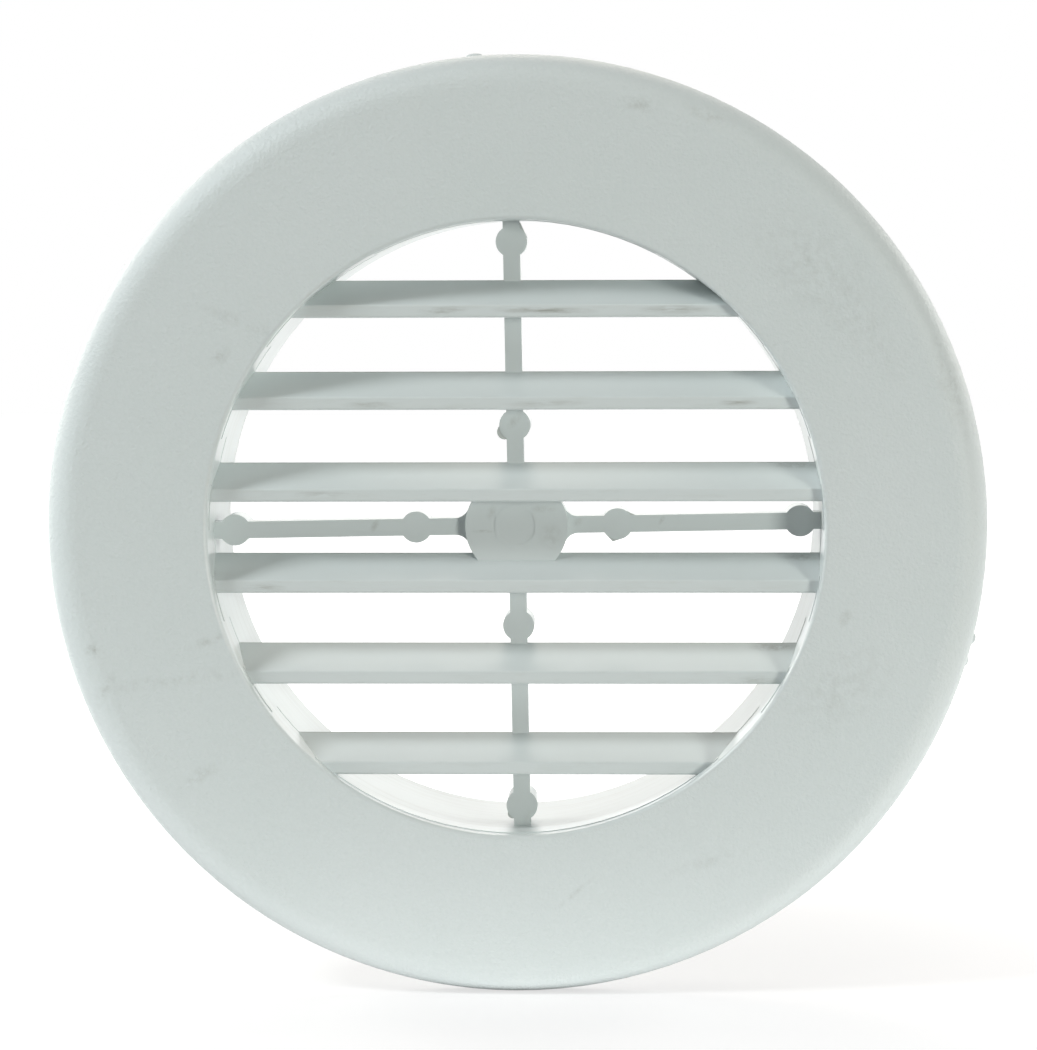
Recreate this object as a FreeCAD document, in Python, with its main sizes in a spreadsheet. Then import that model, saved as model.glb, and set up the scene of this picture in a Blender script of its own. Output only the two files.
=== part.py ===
import FreeCAD, Part
import math
import os
import Sketcher

# Round vent cover: a flange with a rolled rim, a collar that pushes into a round duct,
# and a louvre of fixed slats on a cross of ribs, all moulded in one piece.
# Sizes are in millimetres. The axis of the collar is Y: the flange faces -Y, the duct lies
# towards +Y, Z is up, and the origin is on the axis in the plane where the rim seats.

DRIVING_SIZES = [
    ("flange_diameter", "149.0", "outside of the rim"),
    ("rim_height", "6.6", "flange face to the seat of the rim"),
    ("rim_round", "5.0", "radius that rolls the flange face into the rim"),
    ("flange_wall", "2.2", "thickness of the flange and its rim"),
    ("throat_diameter", "97.0", "round opening in the flange"),
    ("throat_edge", "0.7", "radius on the front edge of the opening"),
    ("collar_wall", "2.0", "thickness of the collar at its root"),
    ("collar_reach", "25.4", "seat of the rim to the free end of the collar"),
    ("collar_lead", "1.0", "chamfer that leads the collar into the duct"),
    ("collar_draft", "0.5", "angle in degrees by which the inside opens to the rear"),
    ("root_bevel", "1.0", "bevel between the collar and the back of the flange"),
    ("slat_pitch", "14.5", "one slat to the next"),
    ("slat_setback", "2.4", "flange face to the front of the slats"),
    ("slat_depth", "6.8", "front of a slat to its back edge"),
    ("slat_rise", "6.2", "lowest front edge to highest back edge"),
    ("slat_drop", "0.22", "how far the row of slats sits below the axis"),
    ("slat_front", "2.35", "height of the flat front strip"),
    ("slat_tail", "1.6", "height of the back edge"),
    ("slat_edge", "0.4", "radius on the two front edges"),
    ("wall_bite", "1.0", "how far slats and ribs run into the collar wall"),
    ("shutoff_step", "0.12", "step in the throat wall where the two mould halves met"),
    ("cross_turn", "0.9", "angle in degrees by which the cross stands turned to the slats"),
    ("rib_width", "2.7", "width of a rib of the cross"),
    ("rib_depth", "4.0", "front to back of a rib"),
    ("rib_overlap", "0.3", "how far the ribs run into the back of the slats"),
    ("rib_flare", "2.3", "radius where a rib meets the boss"),
    ("pad_diameter", "5.0", "round ejector pad on a rib"),
    ("pad_depth", "6.5", "front to back of an ejector pad"),
    ("pad_wall_gap", "0.75", "outer pad to the throat wall"),
    ("pad_boss_gap", "5.4", "inner pad to the boss"),
    ("boss_diameter", "16.4", "boss at the middle of the cross"),
    ("boss_proud", "1.65", "how far the boss stands in front of the ribs"),
    ("gate_diameter", "7.0", "outside of the ring left by the moulding gate"),
    ("gate_width", "0.5", "width of that ring"),
    ("gate_height", "0.08", "height of that ring"),
]

ARMS = 4
FULL_TURN = 360.0
EDGE_MATCH = 0.001

# Places that several features share, as formulas on the sheet.
# A name that starts with AT is a distance along +Y from the seat of the rim.
FLANGE_RADIUS = "sizes.flange_diameter / 2"
RIM_INSIDE = FLANGE_RADIUS + " - sizes.flange_wall"
THROAT_RADIUS = "sizes.throat_diameter / 2"
STEPPED_RADIUS = THROAT_RADIUS + " + sizes.shutoff_step"
BITE_RADIUS = THROAT_RADIUS + " + sizes.wall_bite"
COLLAR_RADIUS = THROAT_RADIUS + " + sizes.collar_wall"
BOSS_RADIUS = "sizes.boss_diameter / 2"
AT_FACE = "-sizes.rim_height"
AT_FLANGE_BACK = "sizes.flange_wall - sizes.rim_height"
AT_SLAT_FRONT = "sizes.slat_setback - sizes.rim_height"
AT_SLAT_BACK = AT_SLAT_FRONT + " + sizes.slat_depth"
AT_RIB_FRONT = AT_SLAT_BACK + " - sizes.rib_overlap"
AT_RIB_BACK = AT_RIB_FRONT + " + sizes.rib_depth"
AT_BOSS_FRONT = AT_RIB_FRONT + " - sizes.boss_proud"
AT_COLLAR_END = "sizes.collar_reach"
COLLAR_END_RADIUS = THROAT_RADIUS + f" + tan(sizes.collar_draft) * ({AT_COLLAR_END} - ({AT_SLAT_FRONT}))"

# The slats fill the throat in whole pitches, evenly about a line a little below the axis.
SLAT_COUNT = "floor(sizes.throat_diameter / sizes.slat_pitch)"
LOWEST_SLAT = f"-sizes.slat_drop - ({SLAT_COUNT} - 1) / 2 * sizes.slat_pitch"


def make_sheet(doc):
    """Puts the driving sizes in a sheet, each with its name and its meaning."""
    sheet = doc.addObject("Spreadsheet::Sheet", "sizes")
    for row, (name, size, meaning) in enumerate(DRIVING_SIZES, start=1):
        sheet.set(f"A{row}", meaning)
        sheet.set(f"B{row}", size)
        sheet.setAlias(f"B{row}", name)
    doc.recompute()


def value(owner, formula):
    """Works out a formula on the sheet as a plain number."""
    return float(owner.evalExpression(formula))


def origin_feature(body, role):
    """Finds one of the body's own planes or axes."""
    return next(item for item in body.Origin.OriginFeatures if item.Role == role)


def sketch_on(body, name, role, lift="0", turn="0"):
    """Starts a sketch on one of the body's planes, lifted along its normal and turned about it."""
    sketch = body.newObject("Sketcher::SketchObject", name)
    sketch.AttachmentSupport = [(origin_feature(body, role), "")]
    sketch.MapMode = "FlatFace"
    sketch.setExpression("AttachmentOffset.Base.z", lift)
    sketch.setExpression("AttachmentOffset.Rotation.Angle", turn)
    body.Document.recompute()
    return sketch


def face_sketch(body, name, at, turn="0"):
    """Starts a sketch square to the axis at a place along it, seen from the front."""
    return sketch_on(body, name, "XZ_Plane", lift=f"-({at})", turn=turn)


def pin_point(sketch, curve, end, x, y):
    """Ties a point of a curve to its two formulas, measured from the sketch's origin."""
    for kind, formula in (("DistanceX", x), ("DistanceY", y)):
        spot = value(sketch, formula)
        number = sketch.addConstraint(Sketcher.Constraint(kind, -1, 1, curve, end, spot))
        sketch.setExpression(f"Constraints[{number}]", formula)


def draw_outline(sketch, corners):
    """Draws straight sides from corner to corner and closes them."""
    spots = [FreeCAD.Vector(value(sketch, x), value(sketch, y), 0) for x, y in corners]
    for first, second in zip(spots, spots[1:] + spots[:1]):
        sketch.addGeometry(Part.LineSegment(first, second))
    for side, (x, y) in enumerate(corners):
        after = (side + 1) % len(corners)
        sketch.addConstraint(Sketcher.Constraint("Coincident", side, 2, after, 1))
        pin_point(sketch, side, 1, x, y)


def draw_circle(sketch, radius, x="0", y="0"):
    """Draws a circle whose centre and radius follow formulas."""
    centre = FreeCAD.Vector(value(sketch, x), value(sketch, y), 0)
    size = value(sketch, radius)
    circle = sketch.addGeometry(Part.Circle(centre, FreeCAD.Vector(0, 0, 1), size))
    pin_point(sketch, circle, 3, x, y)
    number = sketch.addConstraint(Sketcher.Constraint("Radius", circle, size))
    sketch.setExpression(f"Constraints[{number}]", radius)


def new_body(doc, name):
    """Starts one stage of the moulding."""
    body = doc.addObject("PartDesign::Body", name)
    doc.recompute()
    return body


def add_pad(body, name, sketch, length, rearwards=False, both_ways=False):
    """Pads a sketch by the length that a formula gives."""
    pad = body.newObject("PartDesign::Pad", name)
    pad.Profile = sketch
    pad.Reversed = rearwards
    pad.SideType = "Symmetric" if both_ways else "One side"
    pad.setExpression("Length", length)
    body.Document.recompute()
    return pad


def cut_through(body, name, sketch):
    """Cuts a sketch right through the body, both ways from its plane."""
    before = body.Tip.Shape.Volume
    pocket = body.newObject("PartDesign::Pocket", name)
    pocket.Profile = sketch
    pocket.Type = "ThroughAll"
    pocket.SideType = "Symmetric"
    body.Document.recompute()
    if not pocket.Shape.Volume < before:
        raise RuntimeError(f"{name} cut nothing")
    return pocket


def revolve(body, name, sketch):
    """Turns a profile once around the axis of the collar."""
    turned = body.newObject("PartDesign::Revolution", name)
    turned.Profile = sketch
    turned.ReferenceAxis = (sketch, ["V_Axis"])
    turned.Angle = FULL_TURN
    body.Document.recompute()
    return turned


def repeat_per_slat(body, name, feature):
    """Repeats a feature up the louvre, once for each slat."""
    pattern = body.newObject("PartDesign::LinearPattern", name)
    pattern.Originals = [feature]
    pattern.Direction = (origin_feature(body, "Z_Axis"), [""])
    pattern.Mode = "Spacing"
    pattern.setExpression("Offset", "sizes.slat_pitch")
    pattern.setExpression("Occurrences", SLAT_COUNT)
    body.Tip = pattern
    body.Document.recompute()


def repeat_per_arm(body, name, features):
    """Repeats features around the axis, once for each arm of the cross."""
    pattern = body.newObject("PartDesign::PolarPattern", name)
    pattern.Originals = features
    pattern.Axis = (origin_feature(body, "Y_Axis"), [""])
    pattern.Angle = FULL_TURN
    pattern.Occurrences = ARMS
    body.Tip = pattern
    body.Document.recompute()


def round_edges(body, radius, at):
    """Names the round edges of one radius at one place along the axis."""
    size = value(body, radius)
    place = value(body, at)
    names = []
    for number, edge in enumerate(body.Tip.Shape.Edges, start=1):
        if not isinstance(edge.Curve, Part.Circle):
            continue
        misses = (edge.Curve.Radius - size, edge.Curve.Center.y - place)
        if max(map(abs, misses)) < EDGE_MATCH:
            names.append(f"Edge{number}")
    return names


def straight_edges(body, along, wanted):
    """Names the straight edges that run along a direction and have a wanted middle."""
    names = []
    for number, edge in enumerate(body.Tip.Shape.Edges, start=1):
        if not isinstance(edge.Curve, Part.Line):
            continue
        strays = edge.Curve.Direction.cross(along).Length
        if strays < EDGE_MATCH and wanted(edge.CenterOfMass):
            names.append(f"Edge{number}")
    return names


def dress(body, kind, name, edges, prop, size):
    """Rounds or chamfers the named edges of the body."""
    base = body.Tip
    feature = body.newObject(f"PartDesign::{kind}", name)
    feature.Base = (base, edges)
    feature.setExpression(prop, size)
    body.Document.recompute()


def make_flange(doc):
    """The flange, its rolled rim and the front of the throat, as one turned shell."""
    body = new_body(doc, "flange")
    profile = sketch_on(body, "flange_profile", "XY_Plane")
    draw_outline(profile, [
        (STEPPED_RADIUS, AT_FACE),
        (FLANGE_RADIUS, AT_FACE),
        (FLANGE_RADIUS, "0"),
        (RIM_INSIDE, "0"),
        (RIM_INSIDE, AT_FLANGE_BACK),
        (COLLAR_RADIUS, AT_FLANGE_BACK),
        (COLLAR_RADIUS, AT_RIB_BACK),
        (STEPPED_RADIUS, AT_RIB_BACK),
    ])
    revolve(body, "flange_turned", profile)
    rim = round_edges(body, FLANGE_RADIUS, AT_FACE)
    dress(body, "Fillet", "rim_rolled", rim, "Radius", "sizes.rim_round")
    # Inside the roll a flat bevel, laid against the inner radius, keeps the wall even.
    inside = round_edges(body, RIM_INSIDE, AT_FLANGE_BACK)
    even_wall = "(2 - sqrt(2)) * (sizes.rim_round - sizes.flange_wall)"
    dress(body, "Chamfer", "rim_bevelled_inside", inside, "Size", even_wall)
    root = round_edges(body, COLLAR_RADIUS, AT_FLANGE_BACK)
    dress(body, "Chamfer", "collar_root", root, "Size", "sizes.root_bevel")
    mouth = round_edges(body, STEPPED_RADIUS, AT_FACE)
    dress(body, "Fillet", "throat_edge_rounded", mouth, "Radius", "sizes.throat_edge")
    return body


def make_collar(doc):
    """The collar behind the slat fronts, with its drafted inside and the mould's shut-off bands."""
    body = new_body(doc, "collar")
    profile = sketch_on(body, "collar_profile", "XY_Plane")
    draw_outline(profile, [
        (THROAT_RADIUS, AT_SLAT_FRONT),
        (COLLAR_RADIUS, AT_SLAT_FRONT),
        (COLLAR_RADIUS, AT_COLLAR_END),
        (COLLAR_END_RADIUS, AT_COLLAR_END),
    ])
    revolve(body, "collar_turned", profile)
    end = round_edges(body, COLLAR_RADIUS, AT_COLLAR_END)
    dress(body, "Chamfer", "collar_end_lead", end, "Size", "sizes.collar_lead")

    # Above each slat the front mould half reached to the slat's back edge, up to mid-gap.
    band = sketch_on(body, "shutoff_band", "YZ_Plane")
    draw_outline(band, [
        (AT_FACE, LOWEST_SLAT),
        (AT_SLAT_BACK, LOWEST_SLAT),
        (AT_SLAT_BACK, LOWEST_SLAT + " + sizes.slat_pitch / 2"),
        (AT_FACE, LOWEST_SLAT + " + sizes.slat_pitch / 2"),
    ])
    lowest_band = cut_through(body, "lowest_band", band)
    repeat_per_slat(body, "shutoff_bands", lowest_band)
    return body


def make_cross(body):
    """The boss, its four ribs and their ejector pads."""
    disc = face_sketch(body, "boss_disc", AT_BOSS_FRONT)
    draw_circle(disc, BOSS_RADIUS)
    add_pad(body, "boss", disc, f"{AT_RIB_BACK} - ({AT_BOSS_FRONT})", rearwards=True)

    arm_plan = face_sketch(body, "arm_plan", AT_RIB_FRONT, turn="sizes.cross_turn")
    draw_outline(arm_plan, [
        ("0", "-sizes.rib_width / 2"),
        (BITE_RADIUS, "-sizes.rib_width / 2"),
        (BITE_RADIUS, "sizes.rib_width / 2"),
        ("0", "sizes.rib_width / 2"),
    ])
    arm = add_pad(body, "arm", arm_plan, "sizes.rib_depth", rearwards=True)

    pad_plan = face_sketch(body, "pad_plan", AT_RIB_FRONT, turn="sizes.cross_turn")
    pad_radius = "sizes.pad_diameter / 2"
    draw_circle(pad_plan, pad_radius, x=f"{BOSS_RADIUS} + sizes.pad_boss_gap + {pad_radius}")
    draw_circle(pad_plan, pad_radius, x=f"{THROAT_RADIUS} - sizes.pad_wall_gap - {pad_radius}")
    pads = add_pad(body, "ejector_pads", pad_plan, "sizes.pad_depth", rearwards=True)
    repeat_per_arm(body, "cross", [arm, pads])

    # The corners between a rib and the side of the boss are behind the front of the ribs.
    boss_radius = value(body, BOSS_RADIUS)
    rib_front = value(body, AT_RIB_FRONT)

    def in_corner(spot):
        on_boss = abs(math.hypot(spot.x, spot.z) - boss_radius) < EDGE_MATCH
        return on_boss and spot.y > rib_front

    corners = straight_edges(body, FreeCAD.Vector(0, 1, 0), in_corner)
    dress(body, "Fillet", "rib_flares", corners, "Radius", "sizes.rib_flare")

    ring = face_sketch(body, "gate_ring_plan", AT_BOSS_FRONT)
    draw_circle(ring, "sizes.gate_diameter / 2")
    draw_circle(ring, "sizes.gate_diameter / 2 - sizes.gate_width")
    add_pad(body, "gate_ring", ring, "sizes.gate_height")


def make_slats(body):
    """The slats, each a sloped bar with a flat front strip, trimmed to the round throat."""
    section = sketch_on(body, "slat_section", "YZ_Plane")
    low_edge = LOWEST_SLAT + " - sizes.slat_rise / 2"
    high_edge = LOWEST_SLAT + " + sizes.slat_rise / 2"
    draw_outline(section, [
        (AT_SLAT_FRONT, low_edge),
        (AT_SLAT_BACK, high_edge + " - sizes.slat_tail"),
        (AT_SLAT_BACK, high_edge),
        (AT_SLAT_FRONT, low_edge + " + sizes.slat_front"),
    ])
    slat = add_pad(body, "lowest_slat", section, f"2 * ({BITE_RADIUS})", both_ways=True)
    repeat_per_slat(body, "slats", slat)

    outside = face_sketch(body, "outside_throat", "0")
    draw_circle(outside, BITE_RADIUS)
    draw_circle(outside, f"2 * ({BITE_RADIUS})")
    cut_through(body, "slats_trimmed", outside)

    slat_front = value(body, AT_SLAT_FRONT)
    fronts = straight_edges(
        body, FreeCAD.Vector(1, 0, 0), lambda spot: abs(spot.y - slat_front) < EDGE_MATCH)
    dress(body, "Fillet", "slat_fronts_rounded", fronts, "Radius", "sizes.slat_edge")


def make_louvre(doc):
    """The cross and the slats that lie on it."""
    body = new_body(doc, "louvre")
    make_cross(body)
    make_slats(body)
    return body


def make_vent_cover(doc):
    """The whole moulding, with its stages grown into one solid."""
    whole = doc.addObject("Part::MultiFuse", "vent_cover")
    whole.Shapes = [make_flange(doc), make_collar(doc), make_louvre(doc)]
    whole.Refine = True
    whole.Label = "vent_cover"
    doc.recompute()
    return whole


def check(doc, part):
    """Stops if anything failed to build or the moulding is not one sound solid."""
    failed = [item.Name for item in doc.Objects if {"Invalid", "Error"} & set(item.State)]
    if failed:
        raise RuntimeError(f"failed to build: {failed}")
    shape = part.Shape
    if shape.isNull() or not shape.isValid() or len(shape.Solids) != 1:
        raise RuntimeError(f"{part.Label} is not one valid solid")


document = FreeCAD.newDocument("round_vent_cover")
make_sheet(document)
vent_cover = make_vent_cover(document)
check(document, vent_cover)
os.makedirs("parts", exist_ok=True)
vent_cover.Shape.Solids[0].exportStep(f"parts/{vent_cover.Label}.step")
print(f"{vent_cover.Label}: {vent_cover.Shape.Volume:.1f} cubic mm, {len(vent_cover.Shape.Faces)} faces")
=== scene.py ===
# %% [markdown]
# # A round vent cover, moulded in one piece
# The real object is one injection moulding: a wide flange with a rolled rim, a collar that pushes into a duct,
# and six sloping slats on a cross of ribs. Its shape is already made, as a solid with real sizes, so this lesson
# keeps that solid and gives it what a solid lacks: the finish of the plastic, the thin flash that the mould left
# on it, and a small studio to look at it in.

# %% Load the solid
import math

import bmesh
import bpy
from mathutils import Matrix, Vector


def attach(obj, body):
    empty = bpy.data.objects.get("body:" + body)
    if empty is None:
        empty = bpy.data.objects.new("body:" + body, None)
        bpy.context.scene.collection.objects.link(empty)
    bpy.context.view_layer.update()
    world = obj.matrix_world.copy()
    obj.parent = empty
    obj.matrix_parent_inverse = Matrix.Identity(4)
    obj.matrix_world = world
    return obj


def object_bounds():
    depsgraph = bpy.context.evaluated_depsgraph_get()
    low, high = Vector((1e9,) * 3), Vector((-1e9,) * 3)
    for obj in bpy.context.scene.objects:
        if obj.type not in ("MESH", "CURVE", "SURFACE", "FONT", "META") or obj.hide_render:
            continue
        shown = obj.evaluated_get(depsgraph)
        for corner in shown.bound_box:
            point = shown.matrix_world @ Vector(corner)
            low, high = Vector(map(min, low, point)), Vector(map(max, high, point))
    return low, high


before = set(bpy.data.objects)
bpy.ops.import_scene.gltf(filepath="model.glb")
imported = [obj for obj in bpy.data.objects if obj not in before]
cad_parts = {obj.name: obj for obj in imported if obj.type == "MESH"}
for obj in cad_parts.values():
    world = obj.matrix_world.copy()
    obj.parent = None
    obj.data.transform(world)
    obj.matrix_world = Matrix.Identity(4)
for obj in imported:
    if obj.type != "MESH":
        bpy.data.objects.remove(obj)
solid_low, solid_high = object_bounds()
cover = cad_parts["vent_cover"]
MM = 0.001
print("vent cover:", [round(side / MM, 1) for side in solid_high - solid_low], "mm,",
      len(cover.data.polygons), "triangles")

# %% [markdown]
# ## Colours shown as they are written
# Blender's usual view transform bends bright tones to look like film. For a pale object on white that would turn
# the white grey, so the Standard transform is set: a colour then comes out as it is written in the material.

# %% View
scene = bpy.context.scene
scene.view_settings.view_transform = "Standard"
print("view transform:", scene.view_settings.view_transform)

# %% [markdown]
# ## The camera
# The photograph was taken almost straight on, from a little above and a little to the right, with a long lens
# about half a metre away. A camera can be placed by hand until it looks right. Here its distance and its three
# angles are named instead, and its place is worked out from them, because then each can be corrected by itself.
# The last angle rolls the camera about its own line of sight.

# %% Camera
AIM = Vector((0.556, -6.6, 0.801)) * MM
CAMERA_DISTANCE = 491.67 * MM
CAMERA_RIGHT = math.radians(1.751)
CAMERA_ABOVE = math.radians(4.660)
CAMERA_ROLL = math.radians(-0.185)
LENS_MM = 107.28
SENSOR_MM = 36.0


def towards(right, above):
    """Direction from the object to something seen at these two angles from its front."""
    return Vector((math.sin(right) * math.cos(above), -math.cos(right) * math.cos(above), math.sin(above)))


def look_at(thing, place, target):
    """Puts a camera or a lamp at a place, with its -Z axis at the target and its Y axis up."""
    thing.location = place
    thing.rotation_euler = (target - place).to_track_quat("-Z", "Y").to_euler()


camera = bpy.data.objects.new("camera", bpy.data.cameras.new("camera"))
scene.collection.objects.link(camera)
camera.data.sensor_fit = "VERTICAL"
camera.data.sensor_height = SENSOR_MM
camera.data.lens = LENS_MM
look_at(camera, AIM + towards(CAMERA_RIGHT, CAMERA_ABOVE) * CAMERA_DISTANCE, AIM)
camera.rotation_euler = (camera.rotation_euler.to_matrix() @ Matrix.Rotation(CAMERA_ROLL, 3, "Z")).to_euler()
scene.camera = camera
print("camera at", [round(part / MM, 1) for part in camera.location], "mm")

# %% [markdown]
# ## A helper for materials
# A material is a graph of nodes. Made one call at a time it is long and hard to follow, so this helper makes a
# node, sets its options, and fills its inputs with either a number or the output of an earlier node.

# %% Node helper
def add(tree, kind, inputs=None, **options):
    """A new node of this kind. A socket in inputs is linked, and any other value is set."""
    node = tree.nodes.new("ShaderNode" + kind)
    for name, option in options.items():
        setattr(node, name, option)
    for name, given in (inputs or {}).items():
        if isinstance(given, bpy.types.NodeSocket):
            tree.links.new(given, node.inputs[name])
        else:
            node.inputs[name].default_value = given
    return node


def new_tree(material):
    """The empty node tree of a material, with its output node."""
    material.use_nodes = True
    material.node_tree.nodes.clear()
    return material.node_tree, material.node_tree.nodes.new("ShaderNodeOutputMaterial")


# %% [markdown]
# ## The plastic
# The cover is pale grey-white plastic with a hint of green. The mould gave the front of its flange a fine eggshell
# grain, about half a millimetre across, while the slats, the ribs and the inside of the collar are smoother and
# shine more at a glancing angle. One material does both. It reads the distance from the axis of the collar, which
# tells flange from louvre, and the distance along it, which tells fronts from what lies behind. So no second
# material and no painted mask is needed.

# %% Plastic: where each finish is
def step_up(tree, number, low, high):
    """0 where the number is below low, 1 where it is above high, and a straight rise in between."""
    return add(tree, "MapRange", {"Value": number, "From Min": low * MM, "From Max": high * MM}).outputs[0]


def times(tree, first, second):
    """Two numbers multiplied."""
    return add(tree, "Math", {0: first, 1: second}, operation="MULTIPLY").outputs[0]


def rest(tree, share):
    """What a share from 0 to 1 leaves."""
    return add(tree, "Math", {0: 1.0, 1: share}, operation="SUBTRACT").outputs[0]


plastic = bpy.data.materials.new("moulded_plastic")
tree, plastic_output = new_tree(plastic)
place = add(tree, "TexCoord").outputs["Object"]
along_axis = add(tree, "SeparateXYZ", {0: place}).outputs["Y"]
across = add(tree, "VectorMath", {0: place, 1: (1.0, 0.0, 1.0)}, operation="MULTIPLY").outputs[0]
radius = add(tree, "VectorMath", {0: across}, operation="LENGTH").outputs["Value"]
on_flange = step_up(tree, radius, 48.9, 49.5)
on_louvre = rest(tree, on_flange)
on_fronts = times(tree, on_louvre, rest(tree, step_up(tree, along_axis, -4.1, -3.6)))
in_collar = times(tree, on_louvre, step_up(tree, radius, 48.25, 48.45))
on_face = times(tree, on_flange, rest(tree, step_up(tree, along_axis, -5.6, -5.0)))
grained = add(tree, "Math", {0: on_face, 1: step_up(tree, radius, 72.6, 73.2)}, operation="MAXIMUM").outputs[0]
print("plastic reads the distance from the collar's axis and along it")

# %% [markdown]
# ## Grain and shine
# Grain this fine could be modelled, but it would take millions of faces, so it is a bump from a noise texture.
# The same noise also shifts the roughness a little, as the tops of a moulded grain are polished by handling.

# %% Plastic: grain and roughness
GRAIN_SCALE = 1800.0
GRAIN_HEIGHT = 0.15
LOUVRE_ROUGHNESS, FLANGE_ROUGHNESS, POLISH = 0.30, 0.52, 0.06
grain = add(tree, "TexNoise", {"Vector": place, "Scale": GRAIN_SCALE, "Detail": 2.0, "Roughness": 0.55}).outputs[0]
surface = add(tree, "Bump", {"Height": grain, "Strength": grained, "Distance": GRAIN_HEIGHT * MM}).outputs[0]
matt = add(tree, "MapRange", {"Value": on_flange, "To Min": LOUVRE_ROUGHNESS, "To Max": FLANGE_ROUGHNESS}).outputs[0]
polished = add(tree, "MapRange", {"Value": grain, "To Min": -POLISH, "To Max": POLISH}).outputs[0]
roughness = add(tree, "Math", {0: matt, 1: times(tree, polished, grained)}, operation="ADD").outputs[0]
print("grain of about", round(1.0 / GRAIN_SCALE / MM, 2), "mm on the flange")

# %% [markdown]
# ## Scuffs, dirt and painted shade
# A used cover isn't clean. Grey smudges and short scratches sit where hands and tools touched the flange, thin
# streaks of dirt lie on the flat fronts of the slats, and further back the boss and the ribs are stained. Three more
# marks are painted shade: they darken the right-hand ends of three slats at their rear, where the right side of the
# throat casts its shadow. Each mark could be a painted image. Here each is a soft ball of influence: a Mapping node
# moves and stretches space so that the mark fills a unit ball, a spherical gradient fades it out, and noise breaks
# the marks up, so that they don't look stamped.

# %% Plastic: scuffs, dirt and painted shade
# Each mark: across and up from the axis, length and width in millimetres, turn in degrees, strength.
FLANGE_MARKS = [
    (46.9, 40.9, 14.0, 8.0, -40.0, 0.24), (52.3, 34.4, 12.0, 6.0, -50.0, 0.20), (57.0, 28.9, 8.0, 4.0, -60.0, 0.18),
    (68.7, 22.5, 10.0, 3.0, -72.0, 0.40), (51.8, -13.9, 1.8, 1.2, 60.0, 0.50), (51.1, -25.3, 11.0, 7.0, 35.0, 0.22),
    (-53.9, -23.8, 20.0, 1.5, 8.0, 0.22), (-48.3, -17.4, 5.0, 1.0, 20.0, 0.40), (-66.6, -19.0, 2.0, 1.5, 0.0, 0.70),
    (-65.1, -25.4, 4.0, 1.2, 60.0, 0.40), (-50.1, -39.0, 5.0, 1.5, 30.0, 0.40), (9.3, -57.8, 5.0, 0.6, 40.0, 0.30),
    (30.7, -52.4, 9.0, 1.4, 20.0, 0.20), (-43.0, 32.8, 8.0, 1.2, -20.0, 0.30), (-46.5, 27.6, 2.5, 1.8, 30.0, 0.45),
    (19.6, 66.4, 4.0, 1.5, -10.0, 0.45), (30.5, 64.6, 5.0, 1.5, -20.0, 0.35),
]
SLAT_MARKS = [
    (-30.7, 5.4, 5.0, 0.7, 0.0, 0.6), (-40.0, -9.4, 4.0, 0.8, 0.0, 0.7), (-11.4, 34.4, 4.5, 0.8, 2.0, 0.9),
    (4.7, 34.4, 9.0, 0.8, -1.0, 0.9), (25.2, 34.5, 6.5, 0.8, 0.0, 0.8), (38.6, -24.0, 4.0, 0.8, 0.0, 0.6),
    (-22.8, 19.6, 5.0, 0.7, 0.0, 0.6), (4.6, 19.8, 8.0, 0.6, 1.0, 0.5), (35.0, 19.9, 3.5, 0.8, 0.0, 0.7),
]
REAR_MARKS = [
    (-5.3, -0.8, 2.4, 0.4, 0.0, 0.9), (5.5, -1.6, 2.6, 3.0, 0.0, 0.5), (-4.0, 2.2, 1.8, 1.0, 70.0, 0.6),
    (4.2, 2.8, 2.7, 0.9, 0.0, 0.6), (-22.7, 0.1, 1.7, 0.8, 60.0, 0.8), (9.7, 0.4, 1.4, 0.9, 30.0, 0.7),
    (-0.3, 16.7, 2.4, 1.0, 50.0, 0.6), (23.2, 0.9, 1.3, 0.5, 60.0, 0.6), (1.5, -47.0, 1.5, 0.8, 60.0, 0.4),
    # The last three are painted shade at the right-hand ends of three slats, where the throat's right side casts its
    # shadow.
    (45.5, -5.0, 3.4, 0.9, 0.0, 0.6), (41.0, -19.5, 4.2, 0.9, 0.0, 0.7), (44.5, 9.7, 4.5, 0.6, 0.0, 0.6),
]
SLAT_FRONT, REAR_PLACE = -4.2, 1.5
FLANGE_REACH, LOUVRE_REACH = 6.0, 1.5


def smudge(tree, place, mark, front, reach):
    """How strongly one mark covers a point, from 0 to its strength; front and reach place it along the axis."""
    right, up, long, wide, turn, strength = mark
    moved = add(tree, "Mapping", {"Vector": place, "Location": (right * MM, front, up * MM),
                                  "Rotation": (0.0, -math.radians(turn), 0.0),
                                  "Scale": (long * MM, reach * MM, wide * MM)}, vector_type="TEXTURE").outputs[0]
    ball = add(tree, "TexGradient", {"Vector": moved}, gradient_type="SPHERICAL").outputs["Fac"]
    return times(tree, ball, strength)


def strongest(tree, place, marks, front, reach):
    """The strongest of several marks at each point."""
    most = smudge(tree, place, marks[0], front, reach)
    for mark in marks[1:]:
        other = smudge(tree, place, mark, front, reach)
        most = add(tree, "Math", {0: most, 1: other}, operation="MAXIMUM").outputs[0]
    return most


def patchy(tree, space, scale, low, high):
    """Noise in some space, pulled apart so that it is 0 below low and 1 above high."""
    noise = add(tree, "TexNoise", {"Vector": space, "Scale": scale, "Detail": 5.0, "Roughness": 0.7}).outputs[0]
    return add(tree, "MapRange", {"Value": noise, "From Min": low, "From Max": high}).outputs[0]


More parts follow.
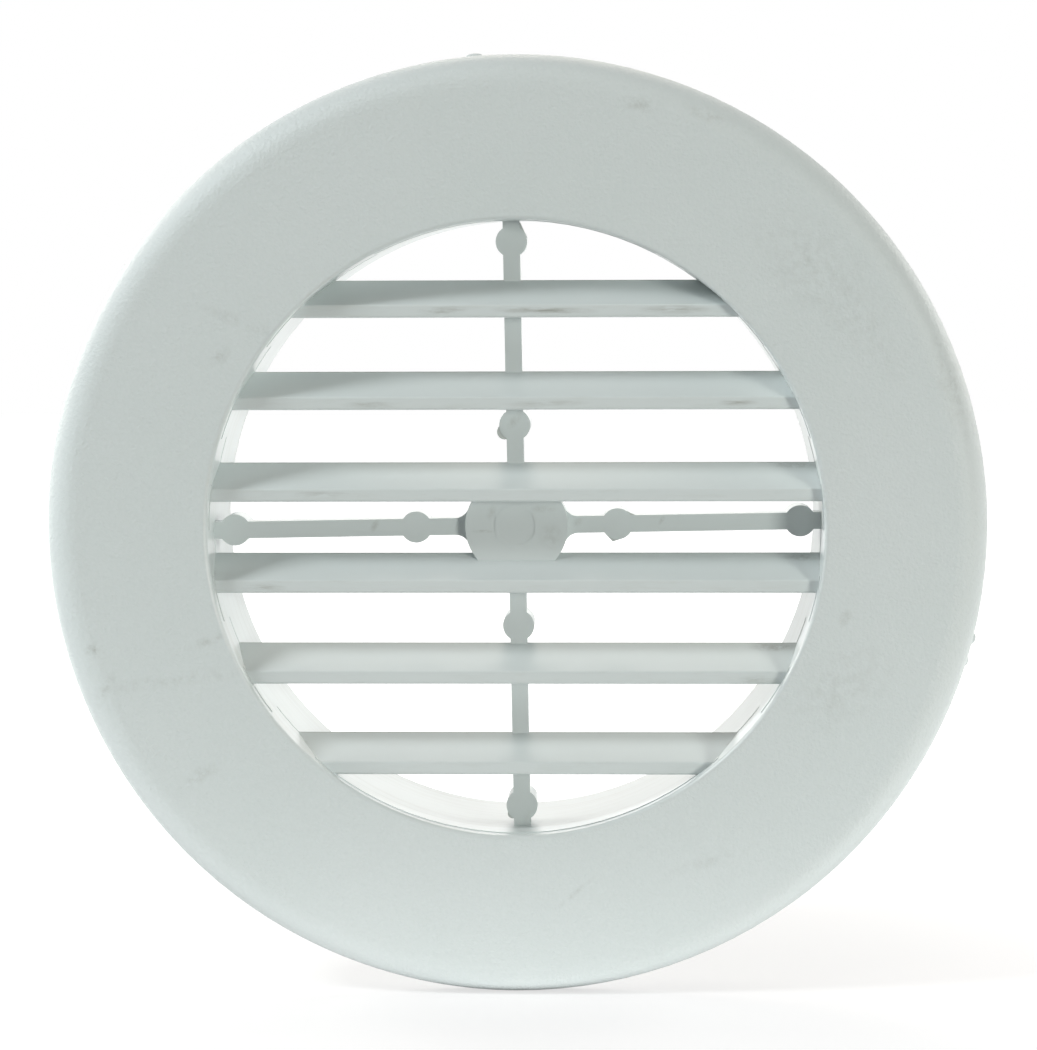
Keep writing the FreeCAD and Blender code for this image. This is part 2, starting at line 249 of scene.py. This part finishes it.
along_slats = add(tree, "Mapping", {"Vector": place, "Scale": (0.12, 0.5, 1.0)}).outputs[0]
smudged = times(tree, strongest(tree, place, FLANGE_MARKS, solid_low.y, FLANGE_REACH), grained)
scuffs = times(tree, smudged, patchy(tree, place, 650.0, 0.42, 0.68))
streaked = times(tree, strongest(tree, place, SLAT_MARKS, SLAT_FRONT * MM, LOUVRE_REACH),
                 patchy(tree, along_slats, 1500.0, 0.38, 0.62))
# The rear marks hold stains on the boss and ribs and painted shade at the right-hand ends of three slats.
stains_and_painted_shade = times(tree, strongest(tree, place, REAR_MARKS, REAR_PLACE * MM, LOUVRE_REACH),
                patchy(tree, place, 1100.0, 0.36, 0.62))
dirt_and_painted_shade = add(tree, "Math", {0: streaked, 1: stains_and_painted_shade}, operation="MAXIMUM").outputs[0]
print(len(FLANGE_MARKS), "marks on the flange,", len(SLAT_MARKS), "on the slats,", len(REAR_MARKS), "behind")

# %% [markdown]
# ## Dust, drawing lines and darker rear edges
# Dust has settled in faint streaks along the fronts of the slats, a thin darker line runs along their rear edges,
# and the inside of the collar has faint lines round it, which the mould drew as it slid out. Noise gives streaks
# when space
# is squeezed first: along X, the way the slats run, or round the collar, by keeping little more than the distance
# along the axis.

# %% Plastic: dust, drawing lines and darker rear edges
FRONT_DUST, REAR_EDGE_DARKNESS, COLLAR_LINES = 0.14, 0.30, 0.25
settled = times(tree, patchy(tree, along_slats, 1100.0, 0.50, 0.75), times(tree, on_fronts, FRONT_DUST))
round_collar = add(tree, "Mapping", {"Vector": place, "Scale": (0.03, 1.0, 0.03)}).outputs[0]
drawn = times(tree, patchy(tree, round_collar, 800.0, 0.50, 0.70), times(tree, in_collar, COLLAR_LINES))
# A thin darker line along the rear edges of the slats, from 2.33 to 2.6 mm along the axis, in the dust's tone.
rear_edges = times(tree, step_up(tree, along_axis, 2.33, 2.42), rest(tree, step_up(tree, along_axis, 2.50, 2.60)))
darker_rear_edge = times(tree, times(tree, rear_edges, on_louvre), times(tree, rest(tree, in_collar), REAR_EDGE_DARKNESS))
on_slats = add(tree, "Math", {0: settled, 1: darker_rear_edge}, operation="MAXIMUM").outputs[0]
dust_and_lines = add(tree, "Math", {0: on_slats, 1: drawn}, operation="ADD").outputs[0]
print("dust on the fronts and rear edges of the slats, drawing lines in the collar")

# %% [markdown]
# ## The colour
# Moulded plastic is never one flat colour: it flows, ages and yellows unevenly. A slow noise mixes two tones that
# are close together, and on the flange the grain mottles the mix. The scuffs, the dirt, the painted shade at the
# slat ends, the dust and the darker rear edges of the slats are then laid over it as thin grey veils.

# %% Plastic: colour and shader
PALE_TONE, PALER_TONE = (0.568, 0.624, 0.620, 1.0), (0.610, 0.656, 0.658, 1.0)
DIRT_AND_SHADE_TONE, DUST_AND_LINE_TONE = (0.27, 0.28, 0.25, 1.0), (0.33, 0.33, 0.28, 1.0)


def veil(tree, amount, under, over):
    """One colour laid over another, by an amount from 0 to 1."""
    return add(tree, "Mix", {"Factor": amount, 6: under, 7: over}, data_type="RGBA").outputs[2]


CLOUD_SCALE, MOTTLE = 28.0, 0.6
cloudy = add(tree, "TexNoise", {"Vector": place, "Scale": CLOUD_SCALE, "Detail": 3.0}).outputs[0]
mottle = add(tree, "MapRange", {"Value": grain, "To Min": -MOTTLE, "To Max": MOTTLE}).outputs[0]
mixing = add(tree, "Math", {0: cloudy, 1: times(tree, mottle, grained)}, operation="ADD").outputs[0]
tone = veil(tree, mixing, PALE_TONE, PALER_TONE)
# The dirt and the painted shade at the slat ends share one dark tone.
marked = veil(tree, dirt_and_painted_shade, veil(tree, scuffs, tone, DIRT_AND_SHADE_TONE), DIRT_AND_SHADE_TONE)
coloured = veil(tree, dust_and_lines, marked, DUST_AND_LINE_TONE)
shader = add(tree, "BsdfPrincipled", {"Base Color": coloured, "Roughness": roughness, "Normal": surface, "IOR": 1.5})
tree.links.new(shader.outputs[0], plastic_output.inputs["Surface"])
cover.material_slots[0].material = plastic
print("plastic has", len(tree.nodes), "nodes")

# %% [markdown]
# ## Flash on the pads
# Where two parts of a mould meet, a little plastic creeps into the joint and stays on the moulding as a thin fin,
# called flash. Four of the eight pads on the ribs have some, and each bit has its own shape: a lobe, a corner
# or a web beside the pad. They could be cut from a copy of the solid, but each is only a small flat plate, so each
# is made here from the outline that shows in the photograph: its points become one face, and extruding the face
# gives it thickness. All of them start just behind the front of the pad, so they come out of its side.

# %% Flash on the pads
PAD_FRONT = 2.3
FLASH_BEHIND_PAD, FLASH_THICKNESS = 0.15, 0.5
CROSS_TURN = math.radians(0.9)
INNER_PADS, OUTER_PADS = 16.1, 45.25


def pad_place(quarter_turns, reach):
    """Centre of a pad, across and up in millimetres; the quarter turns go round from the right-hand rib."""
    turn = CROSS_TURN + quarter_turns * math.pi / 2
    return Vector((reach * math.cos(turn), reach * math.sin(turn)))


def lobe(degrees, out, radius):
    """Outline of a round lobe, with its middle this far out from the pad's middle."""
    middle = Vector((math.cos(math.radians(degrees)), math.sin(math.radians(degrees)))) * out
    return [middle + Vector((math.cos(step * math.pi / 16), math.sin(step * math.pi / 16))) * radius
            for step in range(32)]


def plate(name, middle, outline, front, depth):
    """A flat piece of plastic with this outline round a point, all in millimetres."""
    mesh = bpy.data.meshes.new(name)
    build = bmesh.new()
    corners = [build.verts.new(Vector((middle.x + point[0], front, middle.y + point[1])) * MM) for point in outline]
    face = build.faces.new(corners)
    raised = bmesh.ops.extrude_face_region(build, geom=[face])["geom"]
    bmesh.ops.translate(build, vec=(0.0, depth * MM, 0.0),
                        verts=[part for part in raised if isinstance(part, bmesh.types.BMVert)])
    bmesh.ops.recalc_face_normals(build, faces=build.faces)
    build.to_mesh(mesh)
    build.free()
    return dress(bpy.data.objects.new(name, mesh))


def dress(piece):
    """Puts a new piece in the scene, in the cover's plastic and fixed to the cover."""
    scene.collection.objects.link(piece)
    piece.data.materials.append(plastic)
    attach(piece, "root")
    return piece


# Each bit of flash: quarter turns to its rib, how far out its pad is, and its outline round the pad.
PAD_FLASH = {
    "flash_lobe_top": (1, INNER_PADS, lobe(214.0, 1.95, 1.25)),
    "flash_corner_right": (0, INNER_PADS, [(-0.76, -2.85), (0.73, -2.39), (0.0, -1.0), (-1.83, -1.70)]),
    "flash_web_right": (0, INNER_PADS, [(0.60, 2.43), (0.80, 0.80), (3.60, 0.80), (3.10, 1.30)]),
    "flash_web_top": (1, OUTER_PADS, [(0.50, 1.50), (2.50, 0.64), (1.43, 2.97), (0.50, 2.97)]),
    "flash_lobe_bottom": (3, OUTER_PADS, lobe(222.0, 2.05, 0.80)),
}
for name, (quarter, reach, outline) in PAD_FLASH.items():
    plate(name, pad_place(quarter, reach), outline, PAD_FRONT + FLASH_BEHIND_PAD, FLASH_THICKNESS)
print(len(PAD_FLASH), "bits of flash on the pads")

# %% [markdown]
# ## Nubs on the rim
# The rim has four small nubs of flash on its outer edge. They are only half a millimetre high, but they break the
# clean circle of the outline. Each is a ball, squashed to a long low bead that follows the rim and sits half in it.

# %% Nubs on the rim
RIM_RADIUS = 74.5
NUB_PLACE, NUB_HALF_DEPTH = -0.9, 0.6
# Each nub: angle round the rim from the right, then its length and height in millimetres.
RIM_NUBS = {"rim_nub_top": (94.9, 2.6, 0.45), "rim_nub_left": (146.3, 1.6, 0.22),
            "rim_nub_right": (-13.8, 1.8, 0.55), "rim_nub_low_right": (-16.7, 1.6, 0.40)}
for name, (degrees, long, high) in RIM_NUBS.items():
    turn = math.radians(degrees)
    place_on_rim = Matrix.Rotation(-turn, 4, "Y") @ Matrix.Translation(Vector((RIM_RADIUS, NUB_PLACE, 0.0)) * MM)
    mesh = bpy.data.meshes.new(name)
    build = bmesh.new()
    bmesh.ops.create_uvsphere(build, u_segments=24, v_segments=12, radius=MM,
                              matrix=place_on_rim @ Matrix.Diagonal((high, NUB_HALF_DEPTH, long / 2, 1.0)))
    for face in build.faces:
        face.smooth = True
    build.to_mesh(mesh)
    build.free()
    dress(bpy.data.objects.new(name, mesh))
print(len(RIM_NUBS), "nubs on the rim")

# %% [markdown]
# ## The floor
# The floor is plain and pale. It has to look white without throwing more light on the object, so it glows, but only
# for rays that come from the camera or mirror in something: a Light Path node tells which kind of ray is looking.
# Under the object the glow is weaker, so that the floor's own diffuse part shows the object's shadow. Further away
# the glow grows until the floor is as white as the background and no horizon shows.

# %% Floor
FLOOR_SIDE = 4.0
FLOOR_TONE = (0.35, 0.35, 0.35, 1.0)
WHITE = (1.0, 1.0, 1.0, 1.0)
GLOW_NEAR, GLOW_FAR = 0.66, 1.0
GLOW_FROM, GLOW_TO = 0.08, 0.20


def seen(tree):
    """1 for rays that show a surface to the camera, straight or by reflection or glass, and 0 for the rest."""
    path = add(tree, "LightPath")
    mirrored = add(tree, "Math", {0: path.outputs["Is Camera Ray"], 1: path.outputs["Is Glossy Ray"]},
                   operation="MAXIMUM").outputs[0]
    return add(tree, "Math", {0: mirrored, 1: path.outputs["Is Transmission Ray"]}, operation="MAXIMUM").outputs[0]


floor_mesh = bpy.data.meshes.new("floor")
build = bmesh.new()
bmesh.ops.create_grid(build, x_segments=1, y_segments=1, size=FLOOR_SIDE / 2,
                      matrix=Matrix.Translation((0.0, 0.0, solid_low.z)))
build.to_mesh(floor_mesh)
build.free()
floor = bpy.data.objects.new("floor", floor_mesh)
scene.collection.objects.link(floor)
pale = bpy.data.materials.new("pale_floor")
tree, floor_output = new_tree(pale)
shaded = add(tree, "BsdfDiffuse", {"Color": FLOOR_TONE})
away = add(tree, "VectorMath", {0: add(tree, "TexCoord").outputs["Object"]}, operation="LENGTH").outputs["Value"]
glow_here = add(tree, "MapRange", {"Value": away, "From Min": GLOW_FROM, "From Max": GLOW_TO,
                                   "To Min": GLOW_NEAR, "To Max": GLOW_FAR}).outputs[0]
glow = add(tree, "Emission", {"Color": WHITE, "Strength": times(tree, seen(tree), glow_here)})
both = add(tree, "AddShader", {0: shaded.outputs[0], 1: glow.outputs[0]})
tree.links.new(both.outputs[0], floor_output.inputs["Surface"])
floor_mesh.materials.append(pale)
print("floor at", round(solid_low.z / MM, 1), "mm")

# %% [markdown]
# ## The light
# Shadows give the lights of the photograph away. A lamp far off to the right throws the short dark shadows at the
# right ends of the slats, and a small one high on the left throws the long pale ones at the left ends. The sloping
# tops of the slats need light from above, and lamps behind the flange shine into the collar. Each lamp is placed
# by two angles and a distance, as the camera was, so that its strength can be tried without moving anything else.

# %% Lamps round the object
LAMPS = {
    # name: right and above in degrees, distance and side in metres, power in watts, colour
    "lamp_right": (40.0, 3.0, 1.8, 0.40, 17.4, (0.99, 1.0, 0.94)),
    "lamp_far_right": (78.0, 5.0, 0.9, 0.30, 0.6, (1.0, 0.90, 0.88)),
    "lamp_left": (-65.0, 40.0, 0.9, 0.20, 4.3, (0.95, 0.98, 1.0)),
    "lamp_low_left": (-85.0, 6.0, 0.9, 0.30, 2.3, (0.95, 1.0, 0.97)),
    "lamp_above": (0.0, 62.0, 0.9, 0.40, 0.85, (1.0, 0.93, 0.86)),
    "lamp_collar_left": (-125.0, 20.0, 0.9, 0.30, 3.6, (1.0, 0.95, 0.90)),
    "lamp_collar_right": (125.0, 20.0, 0.9, 0.30, 2.4, (1.0, 0.98, 0.95)),
    "lamp_behind": (180.0, 48.0, 0.9, 0.40, 2.0, (1.0, 0.90, 0.80)),
    "lamp_low_behind": (180.0, 12.0, 0.9, 0.40, 0.55, (1.0, 0.98, 0.95)),
}
for name, (right, above, distance, side, power, colour) in LAMPS.items():
    lamp = bpy.data.objects.new(name, bpy.data.lights.new(name, "AREA"))
    lamp.data.size = side
    lamp.data.energy = power
    lamp.data.color = colour
    look_at(lamp, AIM + towards(math.radians(right), math.radians(above)) * distance, AIM)
    scene.collection.objects.link(lamp)
    print(name, "at", [round(part, 2) for part in lamp.location], "m")

# %% [markdown]
# ## Light from below
# In the photograph the lower half of the rim is brighter than the rest of it, because a brightly lit white table
# lies under it. A whole table that glows would wash out the shadows, so four flat lamps lie on the floor and shine
# up: a weak narrow one just in front of the rim, a weak one on each side of it, and a wide one behind the collar.

# %% Lamps on the floor
FLOOR_LAMPS = {
    # name: how far right of the axis and behind it, width and depth in metres, power in watts
    "glow_front": (0.0, -0.0225, 0.30, 0.035, 0.031),
    "glow_left": (-0.13, -0.03, 0.10, 0.08, 0.030),
    "glow_right": (0.13, -0.03, 0.10, 0.08, 0.034),
    "glow_back": (0.0, 0.20, 0.50, 0.30, 0.50),
}
ABOVE_FLOOR = 0.1 * MM
for name, (right, behind, width, depth, power) in FLOOR_LAMPS.items():
    lamp = bpy.data.objects.new(name, bpy.data.lights.new(name, "AREA"))
    lamp.data.shape = "RECTANGLE"
    lamp.data.size, lamp.data.size_y = width, depth
    lamp.data.energy = power
    lamp.location = (right, behind, solid_low.z + ABOVE_FLOOR)
    lamp.rotation_euler = (math.pi, 0.0, 0.0)
    scene.collection.objects.link(lamp)
    print(name, "shines up from", round(lamp.location.z / MM, 1), "mm")

# %% [markdown]
# ## The surroundings
# The background is pure white in the photograph. As on the floor, only rays that show it to the camera get the
# white; for the rest it is a dim room, so it doesn't fill the shadows.

# %% World
world = bpy.data.worlds.new("studio")
scene.world = world
world.use_nodes = True
tree = world.node_tree
tree.nodes.clear()
ROOM_STRENGTH = 0.02
room = add(tree, "Background", {"Color": WHITE, "Strength": ROOM_STRENGTH})
white = add(tree, "Background", {"Color": WHITE, "Strength": 1.0})
shown = add(tree, "MixShader", {0: seen(tree), 1: room.outputs[0], 2: white.outputs[0]})
tree.links.new(shown.outputs[0], tree.nodes.new("ShaderNodeOutputWorld").inputs["Surface"])
print("white for the camera, dim for the light")
